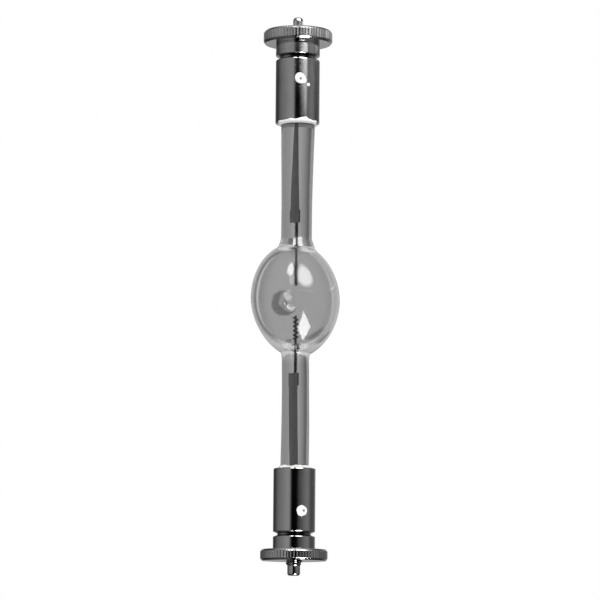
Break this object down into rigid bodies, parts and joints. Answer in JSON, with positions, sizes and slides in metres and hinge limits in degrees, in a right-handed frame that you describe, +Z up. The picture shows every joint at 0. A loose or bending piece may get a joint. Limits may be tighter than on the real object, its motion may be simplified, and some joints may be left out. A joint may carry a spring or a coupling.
{
  "type": "discharge lamp",
  "caption": "Double-ended quartz discharge lamp: a round bulb with facing electrodes between foil-sealed stems, each in a turned ferrule with a stud and knurled nut.",
  "frame": {"origin": "the light centre: on the lamp's axis, halfway between the electrodes' ends", "axes": "+Z up along the lamp's axis, the lamp standing upright as in the picture; the front, where the exhaust tip and the cement holes face, is -Y; +X is the picture's right"},
  "size_m": [0.0211, 0.0221, 0.1331],
  "materials": {
    "quartz": "clear",
    "tungsten": "satin",
    "molybdenum": "satin",
    "solder": "satin",
    "cement": "matte",
    "ferrule_metal": "turned, nickel plated",
    "nut_metal": "knurled, nickel plated",
    "mercury": "liquid metal"
  },
  "bodies": {
    "lamp": {"upper_electrode_rod": "tungsten", "upper_electrode_coil": "tungsten", "upper_weld_tab": "molybdenum", "upper_foil": "molybdenum", "upper_lead_rod": "molybdenum", "upper_solder": "solder", "upper_cement": "cement", "upper_ferrule": "ferrule_metal", "lower_electrode_rod": "tungsten", "lower_electrode_coil": "tungsten", "lower_weld_tab": "molybdenum", "lower_foil": "molybdenum", "lower_lead_rod": "molybdenum", "lower_solder": "solder", "lower_cement": "cement", "lower_ferrule": "ferrule_metal", "quartz_envelope": "quartz", "mercury_bead": "mercury"},
    "upper_nut": {"upper_nut": "nut_metal"},
    "lower_nut": {"lower_nut": "nut_metal"}
  },
  "joints": [
    {"name": "upper_nut_travel", "type": "slide", "parent": "lamp", "child": "upper_nut", "axis": [0, 0, 1], "range_m": [0, 0.0075]},
    {"name": "lower_nut_travel", "type": "slide", "parent": "lamp", "child": "lower_nut", "axis": [0, 0, -1], "range_m": [0, 0.0075]}
  ]
}
